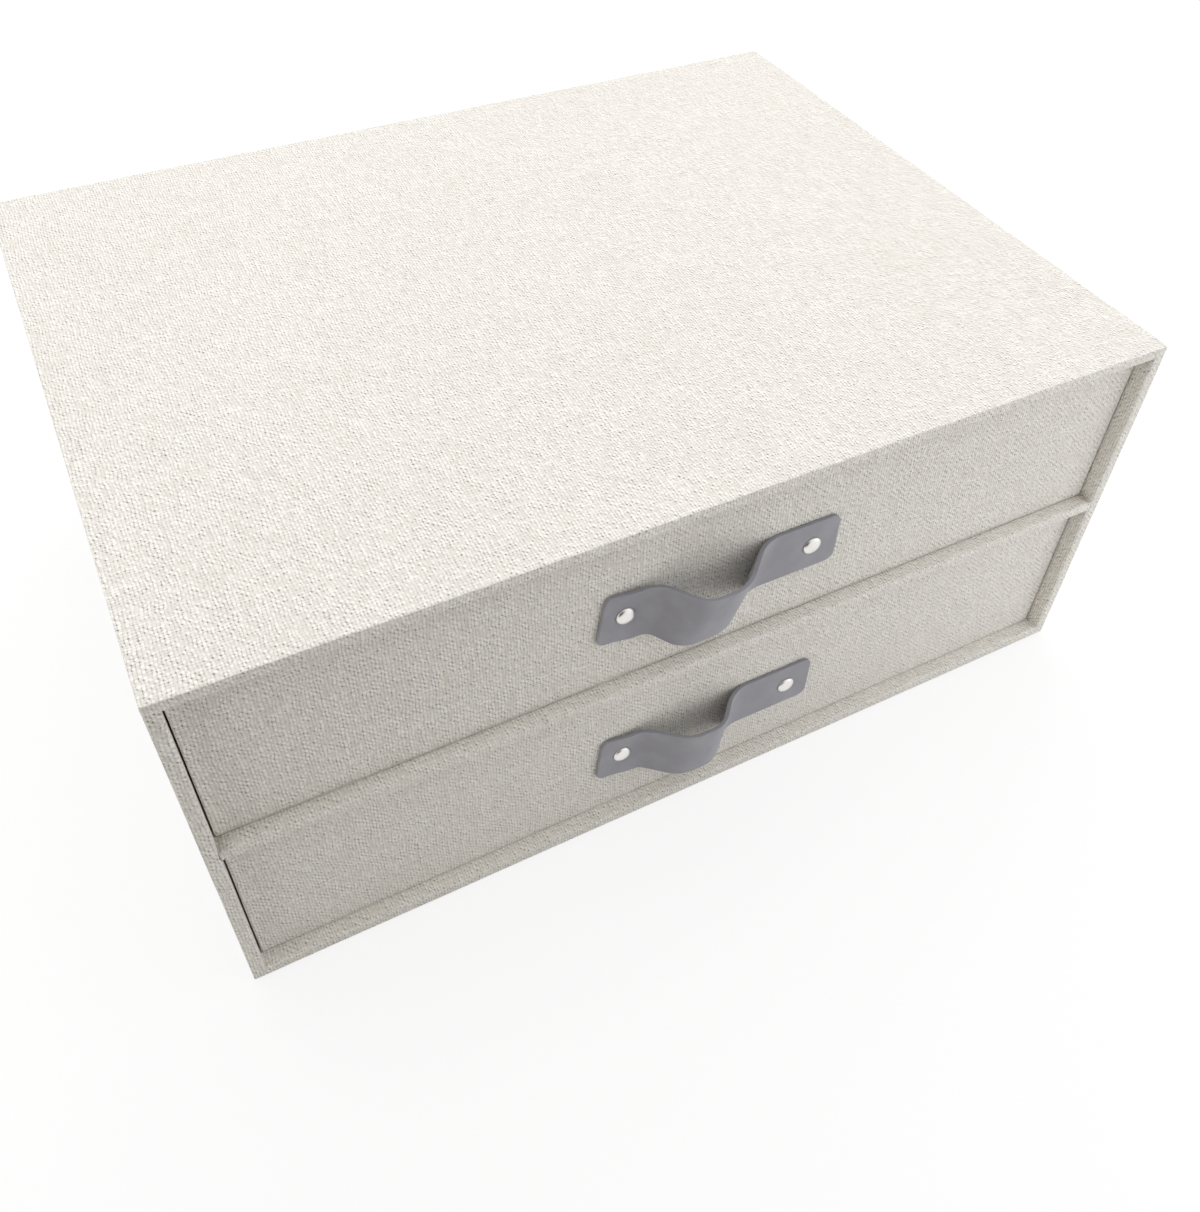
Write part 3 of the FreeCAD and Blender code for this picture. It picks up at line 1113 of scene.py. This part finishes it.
@dataclass
class RivetTree:
    """The Geometry Nodes tree of a strap's rivets: a cap, a post and a back cap at every place.

    A cap's shape runs from its middle in front to its shoulder at 1, and on behind to its middle. Its
    fullness says how square the shoulder is, where 2 is half an ellipse.
    """

    cap_sides: int = 40
    cap_rings: int = 32
    fullness: float = 2.25
    behind: float = 0.4
    weld: float = 0.004 * MM
    post_sides: int = 24

    def __post_init__(self) -> None:
        """Builds the tree."""
        self.tree = bpy.data.node_groups.new("strap_rivets", "GeometryNodeTree")
        self.graph = Graph(self.tree)
        face = self.tree.interface
        face.new_socket("Geometry", in_out="OUTPUT", socket_type="NodeSocketGeometry")
        face.new_socket("Centre", in_out="INPUT", socket_type="NodeSocketVector")
        for name in ("Spacing", "Cap Radius", "Cap Height", "Post Radius", "Grip"):
            face.new_socket(name, in_out="INPUT", socket_type="NodeSocketFloat")
        face.new_socket("Metal", in_out="INPUT", socket_type="NodeSocketMaterial")
        self.given = self.graph.node("NodeGroupInput").outputs
        self.link_all()

    def cap(self) -> Socket:
        """Makes a domed cap that stands forward of the origin, closed behind.

        Returns:
            The cap's mesh.
        """
        graph, given, whole = self.graph, self.given, 1 + self.behind
        sizes = {"Size X": 1.0, "Size Y": 1.0}
        sizes |= {"Vertices X": self.cap_sides + 1, "Vertices Y": self.cap_rings + 1}
        grid = graph.node("GeometryNodeMeshGrid", sizes).outputs["Mesh"]
        x, y, _ = graph.split(graph.node("GeometryNodeInputPosition").outputs[0])
        around = graph.times(x, 2 * math.pi)
        run = graph.plus(graph.times(y, whole), whole / 2)
        quarter = graph.times(graph.math("MINIMUM", run, 1.0), math.pi / 2)
        fall = graph.math("MAXIMUM", graph.math("COSINE", quarter), 0.0)
        rise = graph.math("POWER", fall, 2 / self.fullness)
        reach = graph.math("POWER", graph.math("SINE", quarter), 2 / self.fullness)
        closing = graph.times(graph.minus(whole, run), 1 / self.behind)
        radius = graph.times(graph.math("MINIMUM", reach, closing), given["Cap Radius"])
        spot = graph.vector(
            graph.times(radius, graph.math("COSINE", around)),
            graph.times(graph.times(rise, given["Cap Height"]), -1.0),
            graph.times(radius, graph.math("SINE", around)),
        )
        moved = graph.node("GeometryNodeSetPosition", {"Geometry": grid, "Position": spot})
        welded = {"Geometry": moved.outputs[0], "Distance": self.weld}
        return graph.node("GeometryNodeMergeByDistance", welded).outputs[0]

    def placed(self, mesh: Socket, shift: Socket, turn: Place) -> Socket:
        """Moves a mesh and turns it by angles in radians."""
        fed = {"Geometry": mesh, "Translation": shift, "Rotation": turn}
        return self.graph.node("GeometryNodeTransform", fed).outputs[0]

    def link_all(self) -> None:
        """Joins cap, post and back cap, repeats them and gives them their metal."""
        graph, given = self.graph, self.given
        cap = self.cap()
        behind = self.placed(cap, graph.vector(0.0, given["Grip"]), (0.0, 0.0, math.pi))
        sizes = {"Vertices": self.post_sides, "Radius": given["Post Radius"], "Depth": given["Grip"]}
        post = graph.node("GeometryNodeMeshCylinder", sizes).outputs["Mesh"]
        half_way = graph.vector(0.0, graph.times(given["Grip"], 0.5))
        lying = self.placed(post, half_way, (math.pi / 2, 0.0, 0.0))
        rivet = graph.node("GeometryNodeJoinGeometry")
        for piece in (cap, behind, lying):
            graph.feed(rivet.inputs[0], piece)
        ends = {0: given["Centre"], 1: graph.vector(graph.times(given["Spacing"], 0.5))}
        start = graph.node("ShaderNodeVectorMath", ends, operation="SUBTRACT").outputs[0]
        places = {"Count": 2, "Start Location": start, "Offset": graph.vector(given["Spacing"])}
        row = graph.node("GeometryNodeMeshLine", places).outputs[0]
        repeats = {"Points": row, "Instance": rivet.outputs[0]}
        repeated = graph.node("GeometryNodeInstanceOnPoints", repeats).outputs[0]
        real = graph.node("GeometryNodeRealizeInstances", {0: repeated}).outputs[0]
        metal = graph.node("GeometryNodeSetMaterial", {"Geometry": real, "Material": given["Metal"]})
        graph.node("NodeGroupOutput", {0: metal.outputs[0]})

    def bake(self, name: str, **values: object) -> Piece:
        """Runs the tree with its inputs set and makes the result a plain mesh.

        Args:
            name: The object's name.
            **values: The tree's inputs, by name with underscores for spaces.

        Returns:
            The object, at the origin and without a modifier.
        """
        made = linked(name, bpy.data.meshes.new(name))
        live = made.modifiers.new("rivets", "NODES")
        live.node_group = self.tree
        for socket in self.tree.interface.items_tree:
            title = socket.name.replace(" ", "_")
            if title in values:
                live[socket.identifier] = values[title]
        evaluated = made.evaluated_get(bpy.context.evaluated_depsgraph_get())
        made.data = bpy.data.meshes.new_from_object(evaluated)
        made.modifiers.remove(live)
        close_up(made)
        return made


@dataclass
class StrapRivets:
    """The two rivets that hold a strap, each with a cap in front and a cap inside the drawer."""

    drawer: str
    finishes: Finishes
    tree: RivetTree
    cap_height: float = 1.1 * MM
    post_radius: float = 1.5 * MM
    seat: float = 0.15 * MM

    def build(self) -> None:
        """Builds the rivets and puts them on their drawer."""
        low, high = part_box(f"{self.drawer}_rivets")
        back_low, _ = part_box(f"{self.drawer}_rivet_backs")
        cap_radius = (high.z - low.z) / 2
        strap_face = low.y + self.cap_height
        rivets = self.tree.bake(
            f"{self.drawer}_pull_rivets",
            Centre=Vector(((low.x + high.x) / 2, strap_face + self.seat, (low.z + high.z) / 2)),
            Spacing=high.x - low.x - 2 * cap_radius,
            Cap_Radius=cap_radius,
            Cap_Height=self.cap_height + self.seat,
            Post_Radius=self.post_radius,
            Grip=back_low.y - strap_face - self.seat,
            Metal=self.finishes.by_slot[Slot.METAL],
        )
        put_on(rivets, self.drawer, Slot.METAL, f"{self.drawer}_rivets", f"{self.drawer}_rivet_backs")


# ---- the studio


def studio_sheet(name: str, corners: list[Vector], finish: Finish) -> Piece:
    """Makes a flat four-sided sheet.

    Args:
        name: The object's name.
        corners: Its corners, in place.
        finish: Its finish.

    Returns:
        The object.
    """
    mesh = bpy.data.meshes.new(name)
    mesh.from_pydata(corners, [], [(0, 1, 2, 3)])
    mesh.materials.append(finish.material)
    return linked(name, mesh)


@dataclass(frozen=True)
class Lamp:
    """A square soft lamp that faces the middle of the box."""

    name: str
    place: Place
    size: float
    power: float
    colour: Colour

    def build(self) -> None:
        """Hangs the lamp and turns it to the box."""
        lamp = bpy.data.lights.new(self.name, "AREA")
        lamp.shape, lamp.size, lamp.energy, lamp.color = "SQUARE", self.size, self.power, self.colour
        holder = linked(self.name, lamp)
        holder.location = self.place
        holder.rotation_euler = (BOX_MIDDLE - holder.location).to_track_quat("-Z", "Y").to_euler()


@dataclass(frozen=True)
class Studio:
    """A plain pale floor, soft even light, a dark card and the camera."""

    floor_size: float = 12.0
    floor_colour: Colour = (0.80, 0.80, 0.80)
    floor_glow: float = 0.8
    sky: float = 1.0
    sky_colour: Colour = (0.99, 0.995, 1.015)
    lamps: tuple[Lamp, ...] = (
        Lamp("broad_lamp", (0.5, 0.8, 1.9), 2.2, 13.0, (1.0, 0.985, 0.945)),
        Lamp("side_lamp", (0.55, -0.50, 0.22), 0.4, 0.38, (0.96, 0.985, 1.0)),
        Lamp("low_lamp", (-0.9, -0.45, 0.25), 0.6, 1.0, (1.0, 0.94, 0.80)),
    )
    card_place: Place = (-0.22, -0.40, 0.20)
    card_size: Flat = (0.44, 0.45)
    card_colour: Colour = (0.07, 0.055, 0.035)
    camera_place: Place = (-0.14921, -0.31910, 0.36879)
    camera_turn: Place = (44.3824, -1.6322, -27.5795)
    lens: float = 34.917
    sensor_width: float = 36.0
    shift: Flat = (-0.00934, -0.04873)
    clip: Flat = (0.01, 50.0)

    def build(self) -> None:
        """Builds the stage, the lights and the camera."""
        self.lay_floor()
        self.stand_card()
        self.light()
        self.set_camera()
        bpy.context.scene.view_settings.view_transform = "Standard"

    def white_seen(self, graph: Graph) -> Socket:
        """1 for the rays that see the background itself, in view or in a reflection."""
        path = graph.node("ShaderNodeLightPath").outputs
        seen = graph.math("MAXIMUM", path["Is Camera Ray"], path["Is Glossy Ray"])
        return graph.math("MAXIMUM", seen, path["Is Transmission Ray"])

    def lay_floor(self) -> None:
        """Lays the floor, which looks white and keeps the box's shadow."""
        matt = Finish("white_floor", 1.0, Specular_IOR_Level=0.0)
        graph = matt.graph
        white = self.white_seen(graph)
        matt.colour(graph.blend(white, self.floor_colour, WHITE))
        glow = graph.node("ShaderNodeEmission", {"Strength": 1.0}).outputs[0]
        share = graph.times(white, self.floor_glow)
        mixed = graph.node("ShaderNodeMixShader", {0: share, 1: matt.shader.outputs[0], 2: glow})
        surface = matt.material.node_tree.nodes["Material Output"].inputs["Surface"]
        graph.feed(surface, mixed.outputs[0])
        half = self.floor_size / 2
        floor = studio_sheet("floor", [Vector((x * half, y * half, 0)) for x, y in SQUARE], matt)

    def stand_card(self) -> None:
        """Stands a dark card at the box's near left, which holds back light from the left of its front."""
        place = Vector(self.card_place)
        turn = (BOX_MIDDLE - place).to_track_quat("Z", "Y")
        half, tall = self.card_size[0] / 2, self.card_size[1] / 2
        corners = [place + turn @ Vector((x * half, y * tall, 0)) for x, y in SQUARE]
        matt = Finish("matt_black", 1.0, Specular_IOR_Level=0.0)
        matt.colour(self.card_colour)
        card = studio_sheet("dark_card", corners, matt)
        card.visible_camera = card.visible_transmission = False

    def light(self) -> None:
        """Sets the even sky and the soft lamps."""
        world = bpy.data.worlds.new("soft_white")
        world.use_nodes = True
        bpy.context.scene.world = world
        graph = Graph(world.node_tree)
        sky = world.node_tree.nodes["Background"]
        white = self.white_seen(graph)
        graph.feed(sky.inputs["Color"], graph.blend(white, self.sky_colour, WHITE))
        graph.feed(sky.inputs["Strength"], graph.choose(white, self.sky, 1.0))
        for lamp in self.lamps:
            lamp.build()

    def set_camera(self) -> None:
        """Places the camera."""
        camera = bpy.data.cameras.new("camera")
        camera.lens, camera.sensor_width, camera.sensor_fit = self.lens, self.sensor_width, "AUTO"
        camera.shift_x, camera.shift_y = self.shift
        camera.clip_start, camera.clip_end = self.clip
        holder = linked("camera", camera)
        holder.location = self.camera_place
        holder.rotation_euler = Euler([math.radians(turn) for turn in self.camera_turn])
        bpy.context.scene.camera = holder


def main() -> None:
    """Builds every piece, reports it, and sets up the studio."""
    logging.basicConfig(level=logging.INFO, format="%(message)s")
    noise.seed_set(WAVE_SEED)
    finishes = Finishes()
    finishes.dress_nodes()
    CaseCovering(finishes).build()
    rivets = RivetTree()
    for drawer, loop in (("upper_drawer", UPPER_LOOP), ("lower_drawer", LOWER_LOOP)):
        DrawerCloth(drawer, finishes).build()
        PullStrap(drawer, finishes, loop).build()
        StrapRivets(drawer, finishes, rivets).build()
    Studio().build()


if __name__ == "__main__":
    main()
